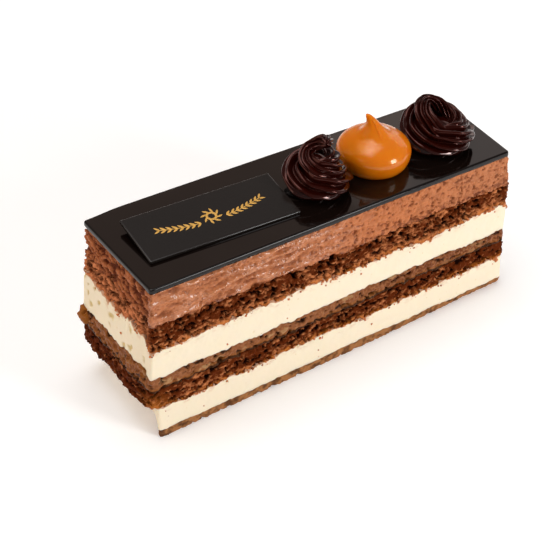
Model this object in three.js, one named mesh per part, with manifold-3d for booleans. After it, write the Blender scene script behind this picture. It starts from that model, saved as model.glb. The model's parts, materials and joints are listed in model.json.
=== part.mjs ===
// A cut bar of chocolate mousse cake. From the bottom: a thin biscuit, a cream, a dark sponge, a nut
// praline, a second cream, a second sponge, a milk chocolate mousse and a mirror glaze. On the glaze lie
// a chocolate plaque on its dab of ganache, two piped ganache rosettes and a caramel dollop.
// Millimetres, +Z up, the long side along X, the cut side that shows its layers best towards -Y.

import * as THREE from 'three';
import { ImprovedNoise } from 'three/addons/math/ImprovedNoise.js';
import { mergeVertices } from 'three/addons/utils/BufferGeometryUtils.js';
import Module from 'manifold-3d';

const { clamp, degToRad, lerp, smoothstep } = THREE.MathUtils;

// The bar, measured along its glaze, which falls towards the right end
const LENGTH = 119.8;
const WIDTH = 34.9;
const HEIGHT = 50;
const MIDDLE_X = 0.4;
const CORNER_RADIUS = 0.7;
const FALL = 1.67;
const END_SKEW = 1.8;

// Each boundary between two layers: its height, its waviness, its climb from left to right, how much higher
// it stands on the left end, and how far it stands out past the glaze at the left end, the right end and
// the front
const BOUNDARIES = [
  { height: 0, wave: 0, tilt: 0, leftRise: 0, leftOut: -5.2, rightOut: 3.0, frontOut: 1.4 },
  { height: 2.5, wave: 0.12, tilt: 0.5, leftRise: 0, leftOut: -4.0, rightOut: 2.7, frontOut: 1.2 },
  { height: 10.5, wave: 0.3, tilt: 0.9, leftRise: -2.2, leftOut: -0.4, rightOut: 2.3, frontOut: 0.8 },
  { height: 16.4, wave: 0.25, tilt: 0.6, leftRise: 0.9, leftOut: 2.9, rightOut: 2.6, frontOut: 0.4 },
  { height: 20.6, wave: 0.4, tilt: 0.8, leftRise: 3.0, leftOut: 2.3, rightOut: 2.4, frontOut: 0.1 },
  { height: 29.7, wave: 0.4, tilt: 0.2, leftRise: 4.2, leftOut: 1.4, rightOut: 2.4, frontOut: 0 },
  { height: 37.5, wave: 0.35, tilt: 0, leftRise: 2.0, leftOut: 0.8, rightOut: 2.0, frontOut: 0 },
  { height: 48.4, wave: 0.12, tilt: 0, leftRise: 0.3, leftOut: 0.1, rightOut: 0.3, frontOut: 0 },
  { height: HEIGHT, wave: 0, tilt: 0, leftRise: 0, leftOut: 0, rightOut: 0, frontOut: 0 },
];

// The two waves that make a boundary uneven: their lengths along and across the bar, how far they move on
// from one boundary to the next, and their share of the waviness
const WAVES = [
  { along: 11, across: 9, phase: 2.1, share: 0.65 },
  { along: 4.3, across: -5.1, phase: 3.7, share: 0.35 },
];

// Each layer: rows of facets up its wall, the depth and size of its relief, its colour and roughness
const LAYERS = [
  { name: 'biscuit_base', rows: 2, relief: 0.3, grain: 4, colour: 0x9a6a3f, roughness: 0.9 },
  { name: 'lower_cream', rows: 3, relief: 0.2, grain: 14, colour: 0xf6e8cf, roughness: 0.6 },
  { name: 'lower_sponge', rows: 5, relief: 0.7, grain: 4, colour: 0x4c2a1d, roughness: 0.95, overhang: 3.2 },
  { name: 'praline', rows: 3, relief: 0.6, grain: 6, colour: 0x805339, roughness: 0.6 },
  { name: 'upper_cream', rows: 3, relief: 0.2, grain: 14, colour: 0xf8ebd2, roughness: 0.6 },
  { name: 'upper_sponge', rows: 4, relief: 0.8, grain: 4, colour: 0x53301f, roughness: 0.95 },
  { name: 'mousse', rows: 3, relief: 0.3, grain: 9, colour: 0xab6b50, roughness: 0.7 },
  { name: 'glaze', rows: 3, relief: 0, grain: 1, colour: 0x2a2422, roughness: 0.08 },
];
const COLUMN_STEP = 2.7;
const CORNER_STEPS = 2;
const RING_RELIEF = 0.15;
const RING_GRAIN = 5;
const OVERHANG_FROM = 0.2;

// The glaze bulges past the mousse, then rounds in over the last part of its height
const GLAZE_LIP = 0.25;
const GLAZE_RIM = 0.7;
const GLAZE_RIM_FROM = 0.6;

// How far the shapes of the ends and the front reach into the bar, and the part of the left end's shape that
// the front corner keeps where a boundary stands out and where it is set in
const LEFT_REACH = 10;
const LEFT_RISE_REACH = 4;
const LEFT_CORNER_REACH = 8;
const LEFT_CORNER_SHARE = 0.6;
const RECESS_REACH = 7;
const RECESS_CORNER_SHARE = 0;
const RIGHT_REACH = 10;
const FRONT_REACH = 10;

// The foot is set in at the front, more and more towards the right end
const FOOT_SET_IN = 1.2;

// The back bulges near the left end and runs in towards the right one: how far, over which part of the
// length it starts and where it crosses the straight line
const BACK_BULGE = 0.9;
const BACK_BULGE_START = 0.1;
const BACK_STRAIGHT_AT = 0.46;

// A hazelnut that stands out of the praline at the back left corner
const NUT = { x: -61.9, y: 16.5, z: 20.2, radius: 3, proud: 1.6 };

// What lies on the glaze: places are measured on it from the middle of the bar
const SEAT_GAP = 0.25;
const PLAQUE = { length: 45.4, width: 17.5, thickness: 0.95, bevel: 0.12, lift: 2 };
const PLAQUE_PLACE = { x: -31.5, y: -0.8, turn: -2.8 };
const DAB = { radius: 4, height: 1.15, back: 4.5 };
const ROSETTES = [
  {
    name: 'rosette_left', x: 1.7, y: -2.3, turns: 2.15, start: -5, outer: 5.8, inner: 2.4,
    rope: 4.2, ropeEnd: 1.7, rise: 9, lean: 0.6, high: 55, tail: 2.2, core: 10.3, twist: 1.7, teeth: 8,
  },
  {
    name: 'rosette_right', x: 44.9, y: -1.8, turns: 2, start: -35, outer: 6.9, inner: 4.4,
    rope: 4.4, ropeEnd: 1.8, rise: 4.7, lean: 3.5, high: 125, tail: 0, core: 7, twist: 1.4, teeth: 10,
  },
];
const TOOTH_DEPTH = 0.22;
const ROPE_STEPS = 60;
const ROPE_PIECES = 3;
const ROPE_LAP = 0.014;
const ROPE_SQUASH = 0.9;
const ROPE_START = { share: 0.8, until: 0.06 };
const ROPE_TIP = { from: 0.9, share: 0.17 };
const TRIM = { side: 60, depth: 20 };
const DOLLOP_PLACE = { x: 22.4, y: -0.9 };
const DOLLOP = { radius: 10.6, foot: 9, widest: 4.2, shoulder: 9.3, height: 15.7, sides: 26 };
const DOLLOP_TIP = { radius: 1.25, length: 1.5, bendFrom: 8, bend: 1.7, hookFrom: 12.4, hook: 0.9 };
// Direction, seen from above, in which the piping bag was pulled away
const PULL_ANGLE = 145;
const CURVE_STEPS = 4;

const LEFT_X = MIDDLE_X - LENGTH / 2;
const RIGHT_X = MIDDLE_X + LENGTH / 2;
const FRONT_Y = -WIDTH / 2;
const BACK_Y = WIDTH / 2;
const SLOPE = FALL / LENGTH;

const noise = new ImprovedNoise();
const wasm = await Module();
wasm.setup();

// Bare positions with shared vertices and no collapsed triangles, so that a surface can be reshaped whole
function welded(geometry) {
  geometry.deleteAttribute('normal');
  geometry.deleteAttribute('uv');
  const merged = mergeVertices(geometry);
  const corners = Array.from(merged.index.array);
  const kept = [];
  for (let i = 0; i < corners.length; i += 3) {
    const triangle = corners.slice(i, i + 3);
    if (new Set(triangle).size === 3) {
      kept.push(...triangle);
    }
  }
  merged.setIndex(kept);
  return merged;
}

// A closed drum, reshaped by place(column, height, onAxis); columns run anticlockwise and height from 0 to 1
function shapedDrum(sides, rows, place) {
  const geometry = new THREE.CylinderGeometry(1, 1, 1, sides, rows);
  geometry.rotateX(Math.PI / 2);
  const drum = welded(geometry);
  const positions = drum.attributes.position;
  for (let i = 0; i < positions.count; i += 1) {
    const x = positions.getX(i);
    const y = positions.getY(i);
    const column = Math.round((Math.atan2(x, -y) / (2 * Math.PI) + 1) * sides) % sides;
    const row = Math.round((positions.getZ(i) + 0.5) * rows);
    const onAxis = Math.hypot(x, y) < 0.5;
    const point = place(column, row / rows, onAxis);
    positions.setXYZ(i, point.x, point.y, point.z);
  }
  return drum;
}

// The bar seen from above, anticlockwise from the middle of its right end
function planOutline() {
  const path = new THREE.Path();
  const r = CORNER_RADIUS;
  path.moveTo(RIGHT_X, 0);
  path.lineTo(RIGHT_X, BACK_Y - r);
  path.absarc(RIGHT_X - r, BACK_Y - r, r, 0, Math.PI / 2);
  path.lineTo(LEFT_X + r, BACK_Y);
  path.absarc(LEFT_X + r, BACK_Y - r, r, Math.PI / 2, Math.PI);
  path.lineTo(LEFT_X, FRONT_Y + r);
  path.absarc(LEFT_X + r, FRONT_Y + r, r, Math.PI, 1.5 * Math.PI);
  path.lineTo(RIGHT_X - r, FRONT_Y);
  path.absarc(RIGHT_X - r, FRONT_Y + r, r, 1.5 * Math.PI, 2 * Math.PI);
  path.closePath();
  return path;
}

// The columns of facets round the wall: where each stands on the outline, and which way it faces
function wallColumns() {
  const columns = [];
  for (const curve of planOutline().curves) {
    const length = curve.getLength();
    if (length > 0) {
      const steps = curve.isLineCurve ? Math.round(length / COLUMN_STEP) : CORNER_STEPS;
      for (let step = 0; step < steps; step += 1) {
        const plan = curve.getPoint(step / steps);
        const tangent = curve.getTangent(step / steps);
        const normal = new THREE.Vector3(tangent.y, -tangent.x, 0);
        columns.push({ plan, normal });
      }
    }
  }
  return columns;
}

const columns = wallColumns();

function glazeHeight(x) {
  return HEIGHT - SLOPE * (x - MIDDLE_X);
}

// 1 on the left end face, 0 on the front face, fading out along the back face
function leftFace(x, y) {
  const along = 1 - smoothstep(x, LEFT_X, LEFT_X + LEFT_RISE_REACH);
  return along * smoothstep(y, FRONT_Y, FRONT_Y + LEFT_RISE_REACH);
}

function ripple(x, y, index) {
  let total = 0;
  for (const { along, across, phase, share } of WAVES) {
    total += share * Math.sin(x / along + y / across + index * phase);
  }
  return total;
}

function boundaryHeight(index, x, y) {
  const { height, wave, tilt, leftRise } = BOUNDARIES[index];
  const level = height * (glazeHeight(x) / HEIGHT) + tilt * ((x - MIDDLE_X) / LENGTH);
  return level + leftRise * leftFace(x, y) + wave * ripple(x, y, index);
}

// How far the wall stands out at the two ends of the bar
function endShift(x, y, leftOut, rightOut) {
  const left = 1 - smoothstep(x, LEFT_X, LEFT_X + LEFT_REACH);
  const right = smoothstep(x, RIGHT_X - RIGHT_REACH, RIGHT_X);
  const share = leftOut > 0
    ? lerp(LEFT_CORNER_SHARE, 1, smoothstep(y, FRONT_Y, FRONT_Y + LEFT_CORNER_REACH))
    : lerp(RECESS_CORNER_SHARE, 1, smoothstep(y, FRONT_Y, FRONT_Y + RECESS_REACH));
  return right * (rightOut + END_SKEW * (y / WIDTH)) - left * leftOut * share;
}

function backShift(x, y) {
  const u = (x - LEFT_X) / LENGTH;
  const bulge = BACK_BULGE * (1 - u / BACK_STRAIGHT_AT) * smoothstep(u, 0, BACK_BULGE_START);
  return bulge * smoothstep(y, 0, BACK_Y);
}

// Lip and rounded rim of the glaze
function glazeEdge(v) {
  const lip = Math.sin(Math.PI * Math.min(1, 1.5 * v));
  return GLAZE_LIP * lip - GLAZE_RIM * smoothstep(v, GLAZE_RIM_FROM, 1);
}

function nutBulge(point) {
  const distance = Math.hypot(point.x - NUT.x, point.y - NUT.y, point.z - NUT.z);
  return NUT.proud * clamp(1 - (distance / NUT.radius) ** 2, 0, 1);
}

// How far the wall of a layer stands out along its own normal; where two layers meet they stand out alike
function wallRelief(index, point, v) {
  const layer = LAYERS[index];
  const ring = RING_RELIEF * noise.noise(point.x / RING_GRAIN, point.y / RING_GRAIN, point.z / RING_GRAIN);
  if (layer.name === 'glaze') {
    return ring * (1 - smoothstep(v, 0, 0.3)) + glazeEdge(v);
  }
  const inside = Math.min(1, 6 * v * (1 - v));
  const crag = noise.noise(point.x / layer.grain, point.y / layer.grain, 0.7 + point.z / layer.grain);
  const nut = layer.name === 'praline' ? nutBulge(point) : 0;
  return ring * (1 - inside) + inside * (layer.relief * crag + nut);
}

// A point on the wall of a layer: v runs from the layer's lower boundary to its upper one
function wallPoint(index, column, v) {
  const { plan, normal } = columns[column];
  const below = BOUNDARIES[index];
  const above = BOUNDARIES[index + 1];
  const overhang = (LAYERS[index].overhang ?? 0) * smoothstep(v, 0, OVERHANG_FROM) * (1 - v);
  const leftOut = lerp(below.leftOut, above.leftOut, v) + overhang;
  const rightOut = lerp(below.rightOut, above.rightOut, v);
  const nearFront = 1 - smoothstep(plan.y, FRONT_Y, FRONT_Y + FRONT_REACH);
  const setIn = index === 0 ? FOOT_SET_IN * (1 - v) * smoothstep(plan.x, MIDDLE_X, RIGHT_X) : 0;
  const forward = nearFront * (lerp(below.frontOut, above.frontOut, v) - setIn);
  const y = plan.y - forward + backShift(plan.x, plan.y);
  const low = boundaryHeight(index, plan.x, plan.y);
  const high = boundaryHeight(index + 1, plan.x, plan.y);
  const x = plan.x + endShift(plan.x, plan.y, leftOut, rightOut);
  const point = new THREE.Vector3(x, y, lerp(low, high, v));
  return point.addScaledVector(normal, wallRelief(index, point, v));
}

function layerGeometry(index) {
  return shapedDrum(columns.length, LAYERS[index].rows, (column, v, onAxis) => {
    if (onAxis) {
      return new THREE.Vector3(MIDDLE_X, 0, boundaryHeight(index + v, MIDDLE_X, 0));
    }
    return wallPoint(index, column, v);
  });
}

function meshOf(name, geometry, color, roughness) {
  geometry.computeVertexNormals();
  const mesh = new THREE.Mesh(geometry, new THREE.MeshStandardMaterial({ color, roughness }));
  mesh.name = name;
  return mesh;
}

function solidOf(geometry) {
  const source = welded(geometry);
  return new wasm.Manifold(new wasm.Mesh({
    numProp: 3,
    vertProperties: new Float32Array(source.attributes.position.array),
    triVerts: new Uint32Array(source.index.array),
  }));
}

function geometryOf(solid) {
  const { vertProperties, triVerts } = solid.getMesh();
  const geometry = new THREE.BufferGeometry();
  geometry.setAttribute('position', new THREE.BufferAttribute(vertProperties, 3));
  geometry.setIndex(new THREE.BufferAttribute(triVerts, 1));
  return geometry;
}

// The line that the middle of a piped rope follows: a clockwise spiral that climbs and tilts
class PipedSpiral extends THREE.Curve {
  constructor(rosette) {
    super();
    this.rosette = rosette;
  }

  angle(t) {
    return degToRad(this.rosette.start) - 2 * Math.PI * this.rosette.turns * t;
  }

  getPoint(t, target = new THREE.Vector3()) {
    const { outer, inner, rope, rise, lean, high, tail } = this.rosette;
    const angle = this.angle(t);
    const radius = lerp(outer, inner, smoothstep(t, 0.1, 1));
    const climb = rise * smoothstep(t, 0.05, 1.1);
    const tilt = lean * Math.cos(angle - degToRad(high)) * smoothstep(t, 0.15, 0.65);
    const flick = tail * smoothstep(t, 0.8, 1);
    const height = ROPE_SQUASH * rope + climb + tilt + flick;
    return target.set(radius * Math.cos(angle), radius * Math.sin(angle), height);
  }

  ropeRadius(t) {
    const { rope, ropeEnd } = this.rosette;
    const start = lerp(ROPE_START.share, 1, smoothstep(t, 0, ROPE_START.until));
    const tip = clamp((t - ROPE_TIP.from) / (1 - ROPE_TIP.from), 0, 1);
    const end = Math.sqrt(1 - (1 - ROPE_TIP.share ** 2) * tip ** 2);
    return start * end * lerp(rope, ropeEnd, smoothstep(t, 0.2, 1));
  }
}

// One stretch of a twisted rope with a toothed section, from t0 to t1 along its spiral
function ropeStretch(spiral, t0, t1) {
  const steps = Math.round(ROPE_STEPS * (t1 - t0));
  const { teeth, twist } = spiral.rosette;
  return shapedDrum(2 * teeth, steps, (column, along, onAxis) => {
    const t = lerp(t0, t1, along);
    const centre = spiral.getPoint(t);
    if (onAxis) {
      return centre;
    }
    const tangent = spiral.getTangent(t);
    const out = new THREE.Vector3(Math.cos(spiral.angle(t)), Math.sin(spiral.angle(t)), 0);
    out.addScaledVector(tangent, -out.dot(tangent)).normalize();
    const up = new THREE.Vector3().crossVectors(tangent, out);
    const tooth = column % 2 === 0 ? 1 : 1 - TOOTH_DEPTH;
    const radius = spiral.ropeRadius(t) * tooth;
    const angle = Math.PI * column / teeth + 2 * Math.PI * twist * t;
    centre.addScaledVector(out, radius * Math.cos(angle));
    return centre.addScaledVector(up, radius * Math.sin(angle));
  });
}

// A rope wound over a dome that fills its middle, cut flat where it lies on the glaze
function rosetteGeometry(rosette) {
  const spiral = new PipedSpiral(rosette);
  const dome = new THREE.SphereGeometry(rosette.outer, 16, 8);
  dome.scale(1, rosette.core / rosette.outer, 1);
  dome.rotateX(Math.PI / 2);
  let solid = solidOf(dome);
  for (let piece = 0; piece < ROPE_PIECES; piece += 1) {
    const start = Math.max(0, piece / ROPE_PIECES - ROPE_LAP);
    solid = solid.add(solidOf(ropeStretch(spiral, start, (piece + 1) / ROPE_PIECES)));
  }
  const below = new THREE.BoxGeometry(TRIM.side, TRIM.side, TRIM.depth);
  below.translate(0, 0, -TRIM.depth / 2);
  return geometryOf(solid.subtract(solidOf(below)));
}

function dollopProfile() {
  const { radius, foot, widest, shoulder, height } = DOLLOP;
  const neck = height - DOLLOP_TIP.length;
  const profile = new THREE.Path();
  profile.moveTo(0, 0);
  profile.lineTo(foot, 0);
  profile.bezierCurveTo(foot + 1, 0.6, radius, 2.4, radius, widest);
  profile.bezierCurveTo(radius, 6.6, 0.78 * radius, 8.3, 0.5 * radius, shoulder);
  profile.bezierCurveTo(0.33 * radius, 10.2, 2.1, 12.2, DOLLOP_TIP.radius, neck);
  profile.bezierCurveTo(0.95, height - 0.6, 0.5, height, 0, height);
  return profile;
}

// A round dollop whose tip is drawn over to one side
function dollopGeometry() {
  const lathe = new THREE.LatheGeometry(dollopProfile().getPoints(CURVE_STEPS), DOLLOP.sides);
  lathe.rotateX(Math.PI / 2);
  const dollop = welded(lathe);
  const positions = dollop.attributes.position;
  const pull = degToRad(PULL_ANGLE);
  const { bendFrom, bend, hookFrom, hook } = DOLLOP_TIP;
  for (let i = 0; i < positions.count; i += 1) {
    const z = positions.getZ(i);
    const bent = clamp((z - bendFrom) / (DOLLOP.height - bendFrom), 0, 1);
    const hooked = clamp((z - hookFrom) / (DOLLOP.height - hookFrom), 0, 1);
    const shift = bend * bent ** 1.5 + hook * hooked ** 2;
    positions.setX(i, positions.getX(i) + shift * Math.cos(pull));
    positions.setY(i, positions.getY(i) + shift * Math.sin(pull));
  }
  return dollop;
}

function plaqueGeometry() {
  const { length, width, thickness, bevel } = PLAQUE;
  const plate = new THREE.Shape();
  plate.moveTo(-length / 2, -width / 2);
  plate.lineTo(length / 2, -width / 2);
  plate.lineTo(length / 2, width / 2);
  plate.lineTo(-length / 2, width / 2);
  plate.closePath();
  const geometry = new THREE.ExtrudeGeometry(plate, {
    depth: thickness - 2 * bevel,
    bevelThickness: bevel,
    bevelSize: bevel,
    bevelOffset: -bevel,
    bevelSegments: 1,
  });
  geometry.translate(0, 0, bevel);
  return welded(geometry);
}

function dabGeometry() {
  const profile = new THREE.Path();
  profile.moveTo(0, 0);
  profile.lineTo(DAB.radius, 0);
  profile.bezierCurveTo(DAB.radius, 0.6 * DAB.height, 0.6 * DAB.radius, DAB.height, 0, DAB.height);
  const geometry = new THREE.LatheGeometry(profile.getPoints(CURVE_STEPS), 16);
  geometry.rotateX(Math.PI / 2);
  return welded(geometry);
}

// The plaque is hinged on its front edge, which lies on the glaze
function plaqueGroup() {
  const plaque = meshOf('plaque', plaqueGeometry(), 0x2c2625, 0.25);
  plaque.position.y = PLAQUE.width / 2;
  const tilted = new THREE.Group();
  tilted.position.y = -PLAQUE.width / 2;
  tilted.rotation.x = Math.asin(PLAQUE.lift / PLAQUE.width);
  tilted.add(plaque);
  const dab = meshOf('plaque_dab', dabGeometry(), 0x33221d, 0.3);
  dab.position.y = DAB.back;
  const group = new THREE.Group();
  group.position.set(PLAQUE_PLACE.x, PLAQUE_PLACE.y, 0);
  group.rotation.z = degToRad(PLAQUE_PLACE.turn);
  group.add(tilted, dab);
  return group;
}

function toppings() {
  const group = new THREE.Group();
  group.position.set(MIDDLE_X, 0, HEIGHT + SEAT_GAP);
  group.rotation.y = Math.atan(SLOPE);
  group.add(plaqueGroup());
  for (const rosette of ROSETTES) {
    const mesh = meshOf(rosette.name, rosetteGeometry(rosette), 0x2e1a16, 0.25);
    mesh.position.set(rosette.x, rosette.y, 0);
    group.add(mesh);
  }
  const dollop = meshOf('caramel_dollop', dollopGeometry(), 0xc9701f, 0.25);
  dollop.position.set(DOLLOP_PLACE.x, DOLLOP_PLACE.y, 0);
  group.add(dollop);
  return group;
}

const cake = new THREE.Group();
LAYERS.forEach((layer, index) => {
  cake.add(meshOf(layer.name, layerGeometry(index), layer.colour, layer.roughness));
});
cake.add(toppings());

export default cake;
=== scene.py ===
"""Looks of a cut bar of chocolate mousse cake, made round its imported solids.

Lengths are in metres. The walls of the layers follow the same rules as the solids, on a much finer grid.
"""

import json
import math
from collections import namedtuple

import bpy
import numpy as np
from mathutils import Matrix, Vector

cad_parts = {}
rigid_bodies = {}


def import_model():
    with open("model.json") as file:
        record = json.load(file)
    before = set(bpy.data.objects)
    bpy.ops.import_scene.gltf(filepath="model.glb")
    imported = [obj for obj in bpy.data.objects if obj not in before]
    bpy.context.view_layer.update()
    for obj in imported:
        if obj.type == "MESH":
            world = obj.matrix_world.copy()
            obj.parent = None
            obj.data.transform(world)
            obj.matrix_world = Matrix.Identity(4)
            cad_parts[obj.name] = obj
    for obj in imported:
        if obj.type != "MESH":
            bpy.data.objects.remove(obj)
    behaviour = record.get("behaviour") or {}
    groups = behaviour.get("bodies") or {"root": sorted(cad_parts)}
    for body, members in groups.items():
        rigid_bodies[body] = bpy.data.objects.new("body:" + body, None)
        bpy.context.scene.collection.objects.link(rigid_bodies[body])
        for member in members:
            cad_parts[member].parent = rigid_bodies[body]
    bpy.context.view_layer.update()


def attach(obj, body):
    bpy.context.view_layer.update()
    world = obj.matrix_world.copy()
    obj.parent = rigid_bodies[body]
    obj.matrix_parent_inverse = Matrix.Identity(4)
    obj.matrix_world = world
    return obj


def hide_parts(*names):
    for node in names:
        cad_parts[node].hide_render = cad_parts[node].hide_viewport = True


bl_info = {
    "name": "Chocolate mousse cake bar",
    "version": (1, 0, 0),
    "blender": (4, 5, 0),
    "location": "View3D > Sidebar > Cake",
    "description": "Layers, glaze, plaque, rosettes and caramel of a mousse cake bar",
    "category": "Object",
}

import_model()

MM = 0.001
BODY = "root"

# The shape of the bar that the layers share
Boundary = namedtuple("Boundary", "height wave tilt left_rise left_out right_out front_out jag")
# Boundaries between layers in millimetres, from the foot up: height, waviness, climb from left to right,
# extra height on the left end, how far they stand out at the left end, the right end and the front, and
# how ragged the cut left them
BOUNDARIES = [Boundary(*(MM * value for value in row)) for row in (
    (0.0, 0.0, 0.0, 0.0, -5.2, 3.0, 1.4, 0.0),
    (2.5, 0.12, 0.5, 0.0, -4.0, 2.7, 1.2, 0.5),
    (10.5, 0.3, 0.9, -2.2, -0.4, 2.3, 0.8, 0.75),
    (16.4, 0.25, 0.6, 0.9, 2.9, 2.6, 0.4, 0.5),
    (20.6, 0.4, 0.8, 3.0, 2.3, 2.4, 0.1, 0.7),
    (29.7, 0.4, 0.2, 4.2, 1.4, 2.4, 0.0, 1.1),
    (37.5, 0.35, 0.0, 2.0, 0.8, 2.0, 0.0, 1.0),
    (48.4, 0.12, 0.0, 0.3, 0.1, 0.3, 0.0, 0.12),
    (50.0, 0.0, 0.0, 0.0, 0.0, 0.0, 0.0, 0.0),
)]
# Two waves in every boundary: length along and across the bar, move per boundary, share
WAVES = ((11 * MM, 9 * MM, 2.1, 0.65), (4.3 * MM, -5.1 * MM, 3.7, 0.35))
# Finer waves of a ragged edge: length round the bar, share
JAGS = ((4.5 * MM, 0.5), (1.8 * MM, 0.35), (0.8 * MM, 0.3))
END_SKEW = 1.8 * MM
END_REACH = 10 * MM
LEFT_RISE_REACH = 4 * MM
LEFT_CORNER_REACH = 8 * MM
LEFT_CORNER_SHARE = 0.6
RECESS_REACH = 7 * MM
FRONT_REACH = 10 * MM
FOOT_SET_IN = 1.2 * MM
BACK_BULGE = 0.9 * MM
BACK_BULGE_START = 0.1
BACK_STRAIGHT_AT = 0.46
OVERHANG = 3.2 * MM
OVERHANG_FROM = 0.2
CAP_INSET = 6 * MM
NUT_PLACE = np.array((-61.9, 16.5, 20.2)) * MM
NUT_RADIUS = 3 * MM
NUT_PROUD = 1.6 * MM

# Relief of each layer's wall: lengths in millimetres, then plain shares, in the order of the two lists
RELIEF_LENGTHS = (
    "Lump Size", "Lump Depth", "Crumb Size", "Crumb Depth", "Hole Size", "Hole Depth",
    "Gap Size", "Gap Depth", "Drag Depth", "Crack Depth",
)
RELIEF_SHARES = ("Hole Share", "Gap Share", "Stretch", "End Holes")
Layer = namedtuple("Layer", "node finish relief shares")
LAYERS = (
    Layer("biscuit_base", "biscuit", (2.0, 0.5, 0.8, 0.35, 1.6, 0.4, 1.2, 0.5, 0, 0), (0.4, 0.42, 1.5, 0)),
    Layer("lower_cream", "cream", (9, 0.22, 1.6, 0.05, 3.0, 0.3, 3.0, 0, 0.05, 0), (0.05, 0.0, 1.0, 0.1)),
    Layer("lower_sponge", "sponge", (2.2, 0.75, 0.75, 0.65, 1.3, 1.0, 1.1, 1.3, 0, 0.3), (0.6, 0.46, 1.9, 0)),
    Layer("praline", "praline", (2.6, 0.8, 2.2, 0.9, 2.2, 0.4, 1.2, 1.0, 0, 0.2), (0.3, 0.44, 1.9, 0)),
    Layer("upper_cream", "cream", (9, 0.22, 1.6, 0.05, 3.0, 0.4, 3.0, 0, 0.05, 0), (0.05, 0.0, 1.0, 0.3)),
    Layer("upper_sponge", "sponge",
          (2.4, 0.85, 0.8, 0.75, 1.5, 1.2, 1.2, 1.6, 0, 0.6), (0.6, 0.47, 1.6, -0.2)),
    Layer("mousse", "mousse", (2.4, 0.7, 0.8, 0.35, 1.2, 0.5, 0.8, 0.7, 1.6, 1.5), (0.55, 0.435, 1.6, 0)),
)
# The stretch of the mousse that the knife smeared smooth fades out between these places along the bar
SMOOTH_UNTIL = -22 * MM
SMOOTH_FROM = 28 * MM
# Size of the moist front left corner of the lower sponge
MOIST_CORNER = 3.4 * MM
# How thickly the sponges shed crumbs all over the creams, and how far down they shed most
SHED_SHARE = 0.003
SHED_REACH = 0.4 * MM
# How far one step of the seed moves the relief
SEED_MOVE = (0.31, 0.17, 0.23)

# Toppings on the glaze: lengths in millimetres, angles in degrees
Rosette = namedtuple(
    "Rosette", "node x y turns start outer inner rope rope_end rise lean high tail core twist teeth")
ROSETTES = (
    Rosette("rosette_left", 1.7, -2.3, 2.15, -5, 5.8, 2.4, 4.2, 1.7, 9.0, 0.6, 55, 2.2, 10.3, 1.7, 8),
    Rosette("rosette_right", 44.9, -1.8, 2.0, -35, 6.9, 4.4, 4.4, 1.8, 4.7, 3.5, 125, 0.0, 7.0, 1.4, 10),
)
# Height of a rope's middle over the glaze where it starts, as a share of its radius
ROPE_SQUASH = 0.9
# How far the toppings sink into the glaze
SINK = 0.1 * MM
FULL_TURN = 2 * math.pi
# Loose crumbs grow more and larger towards the right end, from the first place to the second
CRUMBS_GROW = (42 * MM, 62 * MM)
CRUMBS_MORE = 0.6
CRUMBS_LARGER = 0.9


def length_property(name, description, millimetres):
    return bpy.props.FloatProperty(
        name=name, description=description, default=millimetres * MM, unit="LENGTH")


def angle_property(name, description, degrees):
    return bpy.props.FloatProperty(
        name=name, description=description, default=math.radians(degrees), subtype="ANGLE")


def number_property(name, description, default):
    return bpy.props.FloatProperty(name=name, description=description, default=default)


def colour_property(name, description, *rgb):
    return bpy.props.FloatVectorProperty(
        name=name, description=description, default=(*rgb, 1), size=4, subtype="COLOR")


class BarSizes(bpy.types.PropertyGroup):
    """Sizes of the bar as a whole."""

    length: length_property("Length", "Length of the glazed top", 119.8)
    width: length_property("Width", "Width of the glazed top", 34.9)
    height: length_property("Height", "Height of the glaze at the middle", 50)
    middle: length_property("Middle", "Place of the middle of the top along X", 0.4)
    fall: length_property("Fall", "How much lower the glaze is at the right end", 1.67)
    corner: length_property("Corner Radius", "Radius of the upright corners", 0.7)
    facet: length_property("Facet", "Size of the facets of the cut walls", 0.25)
    seed: bpy.props.IntProperty(
        name="Seed", description="Seed of the crumb, the edges and the holes", default=4)


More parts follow.
